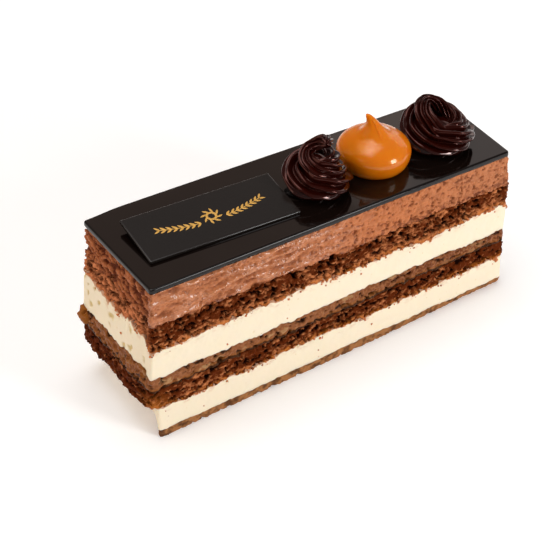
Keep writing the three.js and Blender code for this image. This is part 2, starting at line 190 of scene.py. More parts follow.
class LayerColours(bpy.types.PropertyGroup):
    """Colours of the layers."""

    cream: colour_property("Cream", "Set cream", 0.86, 0.745, 0.56)
    # Yellowish dark cream: painted warm shade on the left end and in the pits, and real flecks
    cream_shade_and_fleck: colour_property("Cream Hole", "Holes in the cream", 0.62, 0.44, 0.15)
    cream_stain: colour_property("Cream Stain", "Cream stained by the sponge", 0.62, 0.30, 0.16)
    sponge: colour_property("Sponge", "Dark sponge", 0.10, 0.017, 0.0025)
    # Lighter crumb colour, used as real crumb tone and as a painted highlight on raised crumbs
    sponge_crumb_and_highlight: colour_property("Sponge Crumb", "Crumb that stands out", 0.60, 0.208, 0.076)
    # Near-black painted shade for the holes, gaps and seams of the sponge and the praline
    sponge_hole_shade: colour_property("Sponge Hole", "Holes in the sponge", 0.009, 0.0008, 0.0003)
    sponge_rust: colour_property("Sponge Rust", "Moist orange crumb", 0.50, 0.15, 0.02)
    sponge_smear: colour_property("Sponge Smear", "Sponge wiped by the knife", 0.64, 0.22, 0.09)
    mousse: colour_property("Mousse", "Milk chocolate mousse", 0.53, 0.162, 0.048)
    mousse_smear: colour_property("Mousse Smear", "Mousse smeared by the knife", 0.495, 0.170, 0.063)
    # Painted highlight on the raised ridges that the knife dragged
    mousse_ridge_highlight: colour_property("Mousse Ridge", "Smears that stand out of the mousse", 0.64, 0.27, 0.125)
    # Dark mousse: random darker clouds, a darker left end, and painted shade in the holes, cracks and furrows
    # and along the foot
    mousse_dark_and_shade: colour_property("Mousse Hole", "Holes in the mousse", 0.13, 0.02, 0.002)
    praline: colour_property("Praline", "Nut praline", 0.30, 0.109, 0.041)
    nut: colour_property("Nut", "Whole nut and its oil", 0.28, 0.085, 0.010)
    nut_piece: colour_property("Nut Piece", "Chopped nut in the praline", 0.44, 0.25, 0.11)
    biscuit: colour_property("Biscuit", "Biscuit base", 0.36, 0.15, 0.05)
    # Dark biscuit: real darker patches, and painted shade in the holes
    biscuit_dark_and_shade: colour_property("Dark Biscuit", "Baked edge of the biscuit", 0.12, 0.045, 0.015)


class ToppingSettings(bpy.types.PropertyGroup):
    """Sizes and colours of the glaze and of what lies on it."""

    glaze: colour_property("Glaze", "Mirror glaze", 0.0032, 0.0011, 0.0006)
    plaque: colour_property("Plaque", "Tempered chocolate", 0.0135, 0.010, 0.0085)
    gold: colour_property("Gold", "Gold of the ornament", 0.66, 0.36, 0.07)
    ganache: colour_property("Ganache", "Piped ganache", 0.021, 0.0018, 0.0008)
    caramel: colour_property("Caramel", "Soft caramel", 0.66, 0.165, 0.002)
    caramel_deep: colour_property("Deep Caramel", "Darker clouds in the caramel", 0.55, 0.12, 0.004)
    plaque_length: length_property("Plaque Length", "Length of the plaque", 45.4)
    plaque_width: length_property("Plaque Width", "Width of the plaque", 17.5)
    plaque_thickness: length_property("Plaque Thickness", "Thickness of the plaque", 0.95)
    plaque_lift: length_property("Plaque Lift", "How high the back edge is propped", 2)
    dollop_radius: length_property("Dollop Radius", "Largest radius of the caramel", 10.6)
    dollop_height: length_property("Dollop Height", "Height of the caramel to its tip", 15.7)


class StageSettings(bpy.types.PropertyGroup):
    """Camera, lights and floor."""

    azimuth: angle_property("Azimuth", "Side from which the camera looks", -35.254)
    elevation: angle_property("Elevation", "Height of the camera over the horizon", 39.112)
    roll: angle_property("Roll", "Turn of the camera about its line of sight", 1.358)
    place: bpy.props.FloatVectorProperty(
        name="Camera", description="Place of the camera", default=(-0.19399, -0.26361, 0.28186),
        subtype="TRANSLATION", unit="LENGTH")
    lens: number_property("Lens", "Focal length in millimetres on a 36 mm sensor", 93.21)
    sky: number_property("Sky", "Strength of the light all round", 0.22)
    key: number_property("Key", "Radiance of the front window", 16.0)
    panel: number_property("Panel", "Radiance of each part of the overhead panel", 0.95)
    side: number_property("Side", "Radiance of the left panel", 1.5)
    back: number_property("Back", "Radiance of the panel behind", 0.9)
    warm: number_property("Warm", "Radiance of the warm panel behind", 0.33)
    glow: number_property("Glow", "Light that the floor gives off", 0.19)
    floor: colour_property("Floor", "Pale floor", 0.94, 0.94, 0.94)


def operation(name, turned=False):
    """A method that adds a Math node; the reflected form of an operation has its operands turned round."""
    def method(self, *others):
        operands = (self, *others)
        return self.math(name, *(operands[::-1] if turned else operands))
    return method


class Wire:
    """An output socket that takes part in arithmetic: each operation adds a Math node to its tree."""

    def __init__(self, nodes, socket):
        self.nodes = nodes
        self.socket = socket

    def math(self, name, *values):
        return self.nodes.add("ShaderNodeMath", dict(enumerate(values)), operation=name)

    __add__ = __radd__ = operation("ADD")
    __sub__ = operation("SUBTRACT")
    __rsub__ = operation("SUBTRACT", True)
    __mul__ = __rmul__ = operation("MULTIPLY")
    __truediv__ = operation("DIVIDE")
    __rtruediv__ = operation("DIVIDE", True)
    __pow__ = operation("POWER")
    __abs__ = operation("ABSOLUTE")
    sine = operation("SINE")
    arctan2 = operation("ARCTAN2")
    largest = operation("MAXIMUM")
    below = operation("LESS_THAN")

    def ramp(self, low, high):
        """0 at low and 1 at high, smooth between."""
        sockets = {"Value": self, "From Min": low, "From Max": high}
        return self.nodes.add("ShaderNodeMapRange", sockets, interpolation_type="SMOOTHSTEP")


class Nodes:
    """Adds nodes to one tree: a kind, the values or links of its sockets, the output to hand on, settings."""

    def __init__(self, tree):
        self.tree = tree

    def add(self, kind, sockets=None, output=0, **settings):
        node = self.tree.nodes.new(kind)
        for name, value in settings.items():
            setattr(node, name, value)
        for name, value in (sockets or {}).items():
            if isinstance(value, Wire):
                self.tree.links.new(value.socket, node.inputs[name])
            else:
                node.inputs[name].default_value = value
        return Wire(self, node.outputs[output])

    def close(self, kind, wire):
        """Ends the tree in an output node."""
        self.tree.links.new(wire.socket, self.tree.nodes.new(kind).inputs[0])

    def vector(self, name, *values):
        return self.add("ShaderNodeVectorMath", dict(enumerate(values)), operation=name)

    def scaled(self, vector, factor):
        return self.add("ShaderNodeVectorMath", {"Vector": vector, "Scale": factor}, operation="SCALE")

    def combine(self, *parts):
        return self.add("ShaderNodeCombineXYZ", dict(enumerate(parts)))

    def split(self, vector, part):
        return self.add("ShaderNodeSeparateXYZ", {0: vector}, part)

    def noise(self, place, size, detail=2.0, output="Fac", roughness=0.5):
        sockets = {"Vector": place, "Scale": 1 / size, "Detail": detail, "Roughness": roughness}
        return self.add("ShaderNodeTexNoise", sockets, output)

    def jitter(self, place, size, detail=2.0):
        """A random vector about zero."""
        return self.vector("SUBTRACT", self.noise(place, size, detail, "Color"), (0.5, 0.5, 0.5))

    def cells(self, place, size, output="Distance"):
        return self.add("ShaderNodeTexVoronoi", {"Vector": place, "Scale": 1 / size}, output)


class Growth(Nodes):
    """A Geometry Nodes tree: given holds a wire for each of its named inputs."""

    def __init__(self, name, lengths=(), shares=(), whole=("Seed",)):
        super().__init__(bpy.data.node_groups.new(name, "GeometryNodeTree"))
        self.tree.interface.new_socket("Geometry", in_out="OUTPUT", socket_type="NodeSocketGeometry")
        self.take("Geometry", ("Geometry",))
        self.take("Material", ("Material",))
        for socket in self.take("Float", lengths):
            socket.subtype = "DISTANCE"
        self.take("Float", shares)
        self.take("Int", whole)
        source = self.tree.nodes.new("NodeGroupInput")
        self.given = {socket.name: Wire(self, socket) for socket in source.outputs if socket.name}
        self.position = self.add("GeometryNodeInputPosition")

    def take(self, kind, labels):
        """Adds inputs of one kind."""
        new_socket = self.tree.interface.new_socket
        return [new_socket(label, in_out="INPUT", socket_type="NodeSocket" + kind) for label in labels]

    def read(self, name, kind="FLOAT"):
        return self.add("GeometryNodeInputNamedAttribute", {"Name": name}, data_type=kind)

    def store(self, geometry, name, value, domain="POINT"):
        sockets = {"Geometry": geometry, "Name": name, "Value": value}
        return self.add("GeometryNodeStoreNamedAttribute", sockets, data_type="FLOAT", domain=domain)

    def moved(self, geometry, **place):
        """Geometry set to a Position or moved by an Offset."""
        return self.add("GeometryNodeSetPosition", {"Geometry": geometry, **place})

    def swept(self, path, section, **sockets):
        """A section swept along a path, closed at both ends."""
        sockets.update({"Curve": path, "Profile Curve": section, "Fill Caps": True})
        return self.add("GeometryNodeCurveToMesh", sockets)

    def chance(self, seed):
        """A random number from 0 to 1 for each point."""
        return self.add("FunctionNodeRandomValue", {2: 0.0, 3: 1.0, "Seed": seed}, 1, data_type="FLOAT")

    def end(self, geometry):
        """Realizes what the tree made, gives it its material and hands it out."""
        whole = self.add("GeometryNodeRealizeInstances", {"Geometry": geometry})
        smooth = self.add("GeometryNodeSetShadeSmooth", {"Geometry": whole})
        sockets = {"Geometry": smooth, "Material": self.given["Material"]}
        self.close("NodeGroupOutput", self.add("GeometryNodeSetMaterial", sockets))
        return self.tree


# Node trees

def wall_relief_tree():
    """Lumps, crumb and holes of a cut wall, and the marks that the knife left."""
    nodes = Growth("Wall relief", RELIEF_LENGTHS, RELIEF_SHARES)
    given = nodes.given
    left = nodes.read("left")
    smooth = nodes.read("smooth")
    rough = 1 - 0.6 * smooth
    place = nodes.vector("ADD", nodes.position, nodes.scaled(SEED_MOVE, given["Seed"]))
    drawn = nodes.vector("DIVIDE", place, nodes.combine(given["Stretch"], given["Stretch"], 1.0))

    def shaken(size, grain, share):
        return nodes.vector("ADD", drawn, nodes.scaled(nodes.jitter(place, size * grain), size * share))

    lump = 2 * nodes.noise(place, given["Lump Size"], 3.0, roughness=0.62) - 1
    size = given["Crumb Size"]
    crumbled = shaken(size, 0.8, 1.3)
    crumb = 1 - nodes.cells(crumbled, size)
    shade = nodes.split(nodes.cells(crumbled, size, "Color"), "X")
    size = given["Hole Size"]
    warped = shaken(size, 0.7, 0.9)
    luck = nodes.cells(warped, size, "Color")
    radius = 0.22 + 0.4 * nodes.split(luck, "Y")
    there = nodes.split(luck, "X").below(given["Hole Share"] + left * given["End Holes"])
    hole = there * nodes.cells(warped, size).ramp(radius, radius * 0.4) * rough
    share = given["Gap Share"]
    gap = nodes.noise(drawn, given["Gap Size"]).ramp(share, share - 0.09) * rough
    along = nodes.vector("MULTIPLY", place, (0.16, 0.16, 1.0))
    drag = smooth * (2 * nodes.noise(along, 1.1 * MM) - 1)
    tilted = nodes.add("ShaderNodeVectorRotate", {"Vector": place, "Angle": -0.4}, rotation_type="X_AXIS")
    streak = nodes.noise(nodes.vector("MULTIPLY", tilted, (0.4, 0.2, 1.0)), 1.6 * MM, 2.5)
    crack = left * (1 - abs(2 * streak - 1)).ramp(0.78, 0.98)
    offset = lump * given["Lump Depth"] + (crumb - 0.5) * given["Crumb Depth"] - hole * given["Hole Depth"]
    offset = offset + drag * given["Drag Depth"] - crack * given["Crack Depth"] - gap * given["Gap Depth"]
    # Holes, gaps and cracks, stored as hole: the finishes paint shade into them
    cavity = hole.largest(gap).largest(crack * (given["Crack Depth"] / MM))
    wall = given["Geometry"]
    for name, value in (("hole", cavity), ("crumb", crumb), ("shade", shade), ("drag", drag)):
        wall = nodes.store(wall, name, value)
    return nodes.end(nodes.moved(wall, Offset=nodes.scaled(nodes.read("out", "FLOAT_VECTOR"), offset)))


def crumb_tree():
    """Loose crumbs on a wall, thickest where it sheds most, and more and larger at the right end."""
    nodes = Growth("Loose crumbs", ("Smallest", "Largest"), ("Density",))
    given = nodes.given
    clump = nodes.noise(nodes.position, 3 * MM).ramp(0.42, 0.66)
    right = nodes.split(nodes.position, "X").ramp(*CRUMBS_GROW)
    density = given["Density"] * nodes.read("shed") * clump * (1 + CRUMBS_MORE * right)
    sockets = {"Mesh": given["Geometry"], "Density": density, "Seed": given["Seed"]}
    points = nodes.add("GeometryNodeDistributePointsOnFaces", sockets)
    ball = nodes.add("GeometryNodeMeshIcoSphere", {"Radius": 1.0, "Subdivisions": 1})
    dented = nodes.moved(ball, Offset=nodes.scaled(nodes.jitter(nodes.position, 0.9, 1.0), 1.6))
    sockets = {0: (0.0, 0.0, 0.0), 1: (6.3, 6.3, 6.3), "Seed": given["Seed"]}
    turn = nodes.add("FunctionNodeRandomValue", sockets, data_type="FLOAT_VECTOR")
    size = given["Smallest"] + (given["Largest"] - given["Smallest"]) * nodes.chance(7) ** 3.0
    placed = nodes.add("GeometryNodeInstanceOnPoints", {
        "Points": points, "Instance": dented, "Rotation": turn, "Scale": size * (1 + CRUMBS_LARGER * right)})
    return nodes.end(nodes.store(placed, "tint", nodes.chance(11), "INSTANCE"))


def piped_rope_tree():
    """A rope with the ridges of a star nozzle, swept along a curve whose radius it takes."""
    nodes = Growth("Piped rope", ("Foot", "Unevenness"), ("Ridge Depth",), ("Teeth", "Sides"))
    given = nodes.given
    circle = nodes.add("GeometryNodeCurvePrimitiveCircle", {"Resolution": given["Sides"], "Radius": 1.0})
    turn = nodes.add("GeometryNodeSplineParameter", {}, "Factor") * given["Teeth"] * math.pi
    ridge = abs(turn.sine()) ** 1.6
    reach = 1 - given["Ridge Depth"] * (1 - ridge)
    toothed = nodes.moved(circle, Position=nodes.scaled(nodes.position, reach))
    rope = nodes.swept(given["Geometry"], toothed, Scale=nodes.read("radius"))
    wander = nodes.jitter(nodes.position, 6 * MM, 0.0)
    uneven = nodes.moved(rope, Offset=nodes.scaled(wander, given["Unevenness"]))
    x, y, z = (nodes.split(nodes.position, part) for part in "XYZ")
    return nodes.end(nodes.moved(uneven, Position=nodes.combine(x, y, z.largest(given["Foot"]))))


def sprig_tree():
    """Pairs of flat leaves along a stem."""
    nodes = Growth("Leaf sprig", ("Leaf Length", "Leaf Width", "Height", "Stem"), ("Spread",), ("Pairs",))
    given = nodes.given
    circle = nodes.add("GeometryNodeCurvePrimitiveCircle", {"Resolution": 8, "Radius": 1.0})
    section = nodes.combine(given["Stem"], given["Height"], 1.0)
    flat = nodes.moved(circle, Position=nodes.vector("MULTIPLY", nodes.position, section))
    stem = nodes.swept(given["Geometry"], flat)
    ball = nodes.add("GeometryNodeMeshIcoSphere", {"Radius": 1.0, "Subdivisions": 4})
    x, y, z = (nodes.split(nodes.position, part) for part in "XYZ")
    leaf = nodes.moved(ball, Position=nodes.combine(
        (x + 1) * given["Leaf Length"] * 0.5, y * (1 - 0.5 * x * x) * given["Leaf Width"] * 0.5,
        z * given["Height"]))
    sockets = {"Curve": given["Geometry"], "Count": given["Pairs"]}
    points = nodes.add("GeometryNodeCurveToPoints", sockets, mode="COUNT")
    tangent = Wire(nodes, points.socket.node.outputs["Tangent"])
    heading = nodes.split(tangent, "Y").arctan2(nodes.split(tangent, "X"))
    joined = nodes.tree.nodes.new("GeometryNodeJoinGeometry")
    nodes.tree.links.new(stem.socket, joined.inputs[0])
    for side in (heading + given["Spread"], heading - given["Spread"]):
        leaves = nodes.add("GeometryNodeInstanceOnPoints", {
            "Points": points, "Instance": leaf, "Rotation": nodes.combine(0.0, 0.0, side)})
        nodes.tree.links.new(leaves.socket, joined.inputs[0])
    return nodes.end(Wire(nodes, joined.outputs[0]))


def grow(source, tree, values):
    """Evaluates a tree on a mesh or a curve, which it uses up, and returns the plain mesh that it makes."""
    piece = new_piece(tree.name, source)
    modifier = piece.modifiers.new(tree.name, "NODES")
    modifier.node_group = tree
    for item in tree.interface.items_tree:
        if item.item_type == "SOCKET" and item.in_out == "INPUT" and item.name in values:
            modifier[item.identifier] = values[item.name]
    bpy.context.view_layer.update()
    depsgraph = bpy.context.evaluated_depsgraph_get()
    mesh = bpy.data.meshes.new_from_object(
        piece.evaluated_get(depsgraph), preserve_all_data_layers=True, depsgraph=depsgraph)
    piece.modifiers.remove(modifier)
    bpy.data.objects.remove(piece)
    bpy.data.batch_remove([source])
    return mesh


# Meshes

def new_piece(name, data):
    piece = bpy.data.objects.new(name, data)
    bpy.context.scene.collection.objects.link(piece)
    return piece


def settle(name, mesh, slot, *nodes):
    """A finished piece rides on the bar and stands for its solids."""
    piece = new_piece(name, mesh)
    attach(piece, BODY)
    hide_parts(*nodes)


def mesh_of(name, points, faces, material=None):
    mesh = bpy.data.meshes.new(name)
    mesh.from_pydata(np.asarray(points).tolist(), [], faces)
    mesh.shade_smooth()
    if material is not None:
        mesh.materials.append(material)
    return mesh


def mesh_points(mesh):
    points = np.zeros(len(mesh.vertices) * 3)
    mesh.vertices.foreach_get("co", points)
    return points.reshape(-1, 3)


def set_attribute(mesh, name, values):
    kind, part = ("FLOAT_VECTOR", "vector") if np.ndim(values) == 2 else ("FLOAT", "value")
    attribute = mesh.attributes.new(name, kind, "POINT")
    attribute.data.foreach_set(part, np.ravel(values).astype(np.float32))


def grid_faces(rows, columns):
    """Quads of a grid of points that goes round: columns anticlockwise, rows upwards."""
    faces = []
    for low in range(0, (rows - 1) * columns, columns):
        for column in range(columns):
            following = (column + 1) % columns
            faces.append((low + column, low + following, low + columns + following, low + columns + column))
    return faces


def capped_mesh(name, rings, material):
    """A stack of rings, closed by a flat face at its foot and at its top."""
    columns = len(rings[0])
    top = (len(rings) - 1) * columns
    faces = grid_faces(len(rings), columns)
    faces.append(tuple(range(top, top + columns)))
    faces.append(tuple(range(columns))[::-1])
    return mesh_of(name, np.concatenate(rings), faces, material)


def lathe_mesh(name, profile, sides, material):
    """A profile of radius and height turned about Z; its first and last points lie on the axis."""
    angles = np.arange(sides) * FULL_TURN / sides
    rings = [np.column_stack((r * np.cos(angles), r * np.sin(angles), np.full(sides, z)))
             for r, z in profile[1:-1]]
    points = np.concatenate(rings + [np.array([(0, 0, profile[0][1]), (0, 0, profile[-1][1])])])
    faces = grid_faces(len(rings), sides)
    last = (len(rings) - 1) * sides
    for side in range(sides):
        following = (side + 1) % sides
        faces.append((following, side, len(points) - 2))
        faces.append((last + side, last + following, len(points) - 1))
    return mesh_of(name, points, faces, material)


def poly_curve(name, points, closed=False):
    """A curve through points, and its spline."""
    curve = bpy.data.curves.new(name, "CURVE")
    curve.dimensions = "3D"
    spline = curve.splines.new("POLY")
    spline.use_cyclic_u = closed
    spline.points.add(len(points) - 1)
    for knot, point in zip(spline.points, points):
        knot.co = (*point, 1)
    return curve, spline


def smoothstep(value, low, high):
    share = np.clip((value - low) / (high - low), 0, 1)
    return share * share * (3 - 2 * share)


def blend(first, second, share):
    return first + (second - first) * share


def bezier(start, first, second, end, steps):
    """Points of a cubic curve, without its start."""
    t = np.linspace(0, 1, steps + 1)[1:, None]
    start, first, second, end = (np.array(p, float) for p in (start, first, second, end))
    return (1 - t) ** 3 * start + 3 * (1 - t) ** 2 * t * first + 3 * (1 - t) * t ** 2 * second + t ** 3 * end


# The bar's walls

class Wall:
    """The outline of the bar seen from above, anticlockwise, and the rules that its walls follow."""

    def __init__(self, bar, step):
        self.bar = bar
        self.left = bar.middle - bar.length / 2
        self.right = bar.middle + bar.length / 2
        self.front = -bar.width / 2
        self.back = bar.width / 2
        radius = bar.corner
        centres = [
            (self.right - radius, self.back - radius), (self.left + radius, self.back - radius),
            (self.left + radius, self.front + radius), (self.right - radius, self.front + radius),
        ]
        points = []
        outwards = []
        for quarter, centre in enumerate(centres):
            steps = max(3, round(radius * math.pi / 2 / step))
            for angle in (quarter + np.arange(steps) / steps) * math.pi / 2:
                facing = np.array((math.cos(angle), math.sin(angle)))
                points.append(np.array(centre) + radius * facing)
                outwards.append(facing)
            angle = (quarter + 1) * math.pi / 2
            facing = np.round((math.cos(angle), math.sin(angle)))
            start = np.array(centre) + radius * facing
            end = np.array(centres[(quarter + 1) % 4]) + radius * facing
            steps = max(2, round(np.linalg.norm(end - start) / step))
            for share in np.arange(steps) / steps:
                points.append(blend(start, end, share))
                outwards.append(facing)
        self.x, self.y = np.array(points).T
        self.out = np.column_stack((np.array(outwards), np.zeros(len(points))))
        gaps = np.linalg.norm(np.roll(np.array(points), -1, 0) - np.array(points), axis=1)
        self.total = gaps.sum()
        self.along = np.concatenate(((0.0,), np.cumsum(gaps)[:-1]))

    def wobble(self, period, seed):
        """A smooth random wave from -1 to 1 that closes on itself round the bar."""
        count = max(4, round(self.total / period))
        knots = np.random.default_rng(seed).uniform(-1, 1, count)
        place = self.along / self.total * count
        first = np.floor(place).astype(int)
        return blend(knots[first % count], knots[(first + 1) % count], smoothstep(place - first, 0, 1))

    def glaze_height(self, x):
        return self.bar.height - self.bar.fall / self.bar.length * (x - self.bar.middle)

    def behind_front(self, reach):
        """0 on the front, 1 from some way behind it."""
        return smoothstep(self.y, self.front, self.front + reach)

    def left_face(self):
        """1 on the left end, 0 on the front, fading out along the back."""
        along = 1 - smoothstep(self.x, self.left, self.left + LEFT_RISE_REACH)
        return along * self.behind_front(LEFT_RISE_REACH)

    def level(self, index):
        """Height of a boundary without its ragged edge."""
        line = BOUNDARIES[index]
        height = line.height * self.glaze_height(self.x) / self.bar.height + line.left_rise * self.left_face()
        height = height + line.tilt * (self.x - self.bar.middle) / self.bar.length
        for along, across, move, share in WAVES:
            height = height + line.wave * share * np.sin(self.x / along + self.y / across + index * move)
        return height

    def edge(self, index):
        """Height of a boundary as the knife left it."""
        ragged = sum(share * self.wobble(period, self.bar.seed + 10 * index + number)
                     for number, (period, share) in enumerate(JAGS))
        return self.level(index) + BOUNDARIES[index].jag * (1 + self.left_face()) * ragged

    def end_shift(self, left_out, right_out):
        """How far the ends stand out or, less towards the front, are set in."""
        left = 1 - smoothstep(self.x, self.left, self.left + END_REACH)
        right = smoothstep(self.x, self.right - END_REACH, self.right)
        proud = blend(LEFT_CORNER_SHARE, 1, self.behind_front(LEFT_CORNER_REACH))
        share = np.where(left_out > 0, proud, self.behind_front(RECESS_REACH))
        return right * (right_out + END_SKEW * self.y / self.bar.width) - left * left_out * share

    def back_shift(self):
        """The back bulges near the left end and runs in towards the right one."""
        along = (self.x - self.left) / self.bar.length
        bulge = BACK_BULGE * (1 - along / BACK_STRAIGHT_AT) * smoothstep(along, 0, BACK_BULGE_START)
        return bulge * smoothstep(self.y, 0, self.back)

    def point(self, index, v, low, high, overhang=0.0):
        """Points of a layer's wall at the share v of its height."""
        below = BOUNDARIES[index]
        above = BOUNDARIES[index + 1]
        left_out = blend(below.left_out, above.left_out, v)
        left_out = left_out + overhang * float(smoothstep(v, 0, OVERHANG_FROM)) * (1 - v)
        shift = self.end_shift(left_out, blend(below.right_out, above.right_out, v))
        near = 1 - self.behind_front(FRONT_REACH)
        forward = near * blend(below.front_out, above.front_out, v)
        if index == 0:
            # The foot's front edge is set in towards the right end
            forward = forward - near * FOOT_SET_IN * (1 - v) * smoothstep(self.x, self.bar.middle, self.right)
        return np.column_stack((self.x + shift, self.y - forward + self.back_shift(), blend(low, high, v)))


def layer_mesh(wall, index, facet):
    """A layer as a closed mesh with a fine wall, and what its relief and its colours read."""
    node = LAYERS[index].node
    low = wall.edge(index)
    high = wall.edge(index + 1)
    thickness = high - low
    rows = max(4, round(float(np.mean(thickness)) / facet))
    columns = len(wall.x)
    shares = np.linspace(0, 1, rows + 1)
    overhang = OVERHANG if node == "lower_sponge" else 0.0
    rings = [wall.point(index, v, low, high, overhang) for v in shares]
    inner = []
    for ring, number in ((rings[0], index), (rings[-1], index + 1)):
        x = blend(wall.bar.middle, ring[:, 0], 1 - CAP_INSET / wall.bar.length)
        y = ring[:, 1] * (1 - CAP_INSET / wall.bar.width)
        inner.append(np.column_stack((x, y, wall.level(number))))
    centres = np.array([(wall.bar.middle, 0, BOUNDARIES[number].height) for number in (index, index + 1)])
    points = np.concatenate(rings + inner + [centres])
    count = (rows + 1) * columns
    faces = grid_faces(rows + 1, columns)
    caps = ((0, count, len(points) - 2), (count - columns, count + columns, len(points) - 1))
    for ring, cap, centre in caps:
        for here in range(columns):
            there = (here + 1) % columns
            quad = (ring + here, ring + there, cap + there, cap + here)
            fan = (cap + here, cap + there, centre)
            faces.extend((quad, fan) if ring else (quad[::-1], fan[::-1]))
    mesh = mesh_of(node, points, faces)
    inside = len(points) - count
    set_attribute(mesh, "out", np.concatenate((np.tile(wall.out, (rows + 1, 1)), np.zeros((inside, 3)))))
    left = wall.left_face()
    smooth = (1 - smoothstep(wall.x, SMOOTH_UNTIL, SMOOTH_FROM)) * (1 - left) * (node == "mousse")
    corner = np.exp(-((wall.x - wall.left) ** 2 + (wall.y - wall.front) ** 2) / MOIST_CORNER ** 2)
    for name, on_ring in (
        ("left", lambda v: left),
        ("smooth", lambda v: smooth),
        ("above_foot", lambda v: thickness * v),
        ("below_top", lambda v: thickness * (1 - v)),
        ("corner", lambda v: corner * (1 - v) * (node == "lower_sponge")),
        ("wiped", lambda v: np.full(columns, float(node == "upper_sponge"))),
        ("shed", lambda v: SHED_SHARE + np.exp(-thickness * (1 - v) / SHED_REACH)),
    ):
        set_attribute(mesh, name, np.concatenate([on_ring(v) for v in shares] + [np.zeros(inside)]))
    if node == "praline":
        add_nut(mesh)
    return mesh


def add_nut(mesh):
    """The hazelnut that stands out of the praline at the back left corner."""
    points = mesh_points(mesh)
    outwards = np.zeros(points.size, np.float32)
    mesh.attributes["out"].data.foreach_get("vector", outwards)
    distance = np.linalg.norm(points - NUT_PLACE, axis=1)
    bulge = np.sqrt(np.clip(1 - (distance / NUT_RADIUS) ** 2, 0, 1))
    points = points + outwards.reshape(-1, 3) * (NUT_PROUD * bulge)[:, None]
    mesh.vertices.foreach_set("co", points.ravel())
    set_attribute(mesh, "nut", bulge)


# Materials

class Finish(Nodes):
    """A material that reads its place on the bar and the attributes of its mesh."""

    BUMP_DISTANCE = 0.2 * MM

    def __init__(self, name):
        self.material = bpy.data.materials.new(name)
        self.material.use_nodes = True
        super().__init__(self.material.node_tree)
        self.tree.nodes.clear()
        self.place = self.add("ShaderNodeTexCoord", {}, "Object")

    def read(self, *names):
        return [self.add("ShaderNodeAttribute", {}, "Fac", attribute_name=name) for name in names]

    def cloud(self, millimetres, detail=2.0, scale=None):
        """Noise with clouds of one size, drawn out along the axes whose scale is below 1."""
        place = self.vector("MULTIPLY", self.place, scale) if scale else self.place
        return self.noise(place, millimetres * MM, detail)

    def along(self, start, end, part="X"):
        """0 before one place and 1 past another, in millimetres along an axis."""
        return self.split(self.place, part).ramp(start * MM, end * MM)

    def paint(self, colour, *coats):
        """A colour under coats of others: the share of each, from the first one up, and its colour."""
        for share, coat in coats:
            colour = self.add("ShaderNodeMix", {0: share, 6: colour, 7: coat}, 2, data_type="RGBA")
        return colour

    def end(self, colour, roughness, bump=None, strength=0.0, **others):
        """Closes the material with one shader, over a bump if it has one."""
        sockets = {"Base Color": colour, "Roughness": roughness}
        for name, value in others.items():
            sockets[SOCKETS[name]] = value
        if bump is not None:
            sockets["Normal"] = self.add(
                "ShaderNodeBump", {"Strength": strength, "Distance": self.BUMP_DISTANCE, "Height": bump})
        self.close("ShaderNodeOutputMaterial", self.add("ShaderNodeBsdfPrincipled", sockets))
        return self.material


# Short names of the shader's other sockets
SOCKETS = {
    "specular": "Specular IOR Level", "tint": "Specular Tint", "metal": "Metallic",
    "coat": "Coat Weight", "coat_roughness": "Coat Roughness", "inner": "Subsurface Weight",
    "inner_radius": "Subsurface Radius", "inner_scale": "Subsurface Scale",
    "glow_colour": "Emission Color", "glow": "Emission Strength",
}


def sponge_finish(colours):
    finish = Finish("Sponge")
    hole, crumb, shade, above_foot = finish.read("hole", "crumb", "shade", "above_foot")
    upper, left, corner = finish.read("wiped", "left", "corner")
    fine = finish.cloud(0.6, 3.0)
    grain = finish.cloud(0.9, 3.0, (0.6, 0.6, 1.0))
    patch = finish.cloud(5)
    streak = finish.cloud(1.1, 3.0, (0.4, 0.3, 1.0))
    right = finish.along(-15, 60)
    low = (1 - above_foot.ramp(0.3 * MM, 4.5 * MM)) * (0.35 + 0.65 * upper)
    # Lighter crumb: random tone, more of it near the foot, and a painted highlight on the raised tops of the
    # crumbs
    crumb_tone_and_highlight = 0.35 * crumb + 0.4 * shade + 1.6 * (grain - 0.5) + 0.9 * (patch - 0.5) + 0.35 * low
    crumb_tone_and_highlight = crumb_tone_and_highlight - 0.02 - 0.12 * right + upper * (0.02 + 0.14 * right) - 0.1 * left
    rust = (1 - above_foot.ramp(0.2 * MM, 2.2 * MM)) * grain.ramp(0.4, 0.6)
    wiped = left * upper * streak.ramp(0.29, 0.53)
    # Painted shade: the pits are painted near-black, less near the foot and where the knife wiped
    pit_shade = hole.ramp(0.05, 0.6) * (1 - 0.35 * wiped) * (0.5 + 0.5 * above_foot.ramp(0.2 * MM, 2.4 * MM))
    colour = finish.paint(
        colours.sponge,
        (crumb_tone_and_highlight.ramp(0.3, 0.95) * 0.9, colours.sponge_crumb_and_highlight),
        (rust * 0.6, colours.sponge_rust),
        (wiped, colours.sponge_smear),
        (pit_shade, colours.sponge_hole_shade),
        (corner * fine.ramp(0.3, 0.5) * 0.8, colours.sponge_rust))
    return finish.end(colour, 0.45 + 0.4 * fine, fine, 0.7, specular=0.035, tint=(1.0, 0.7, 0.5, 1))


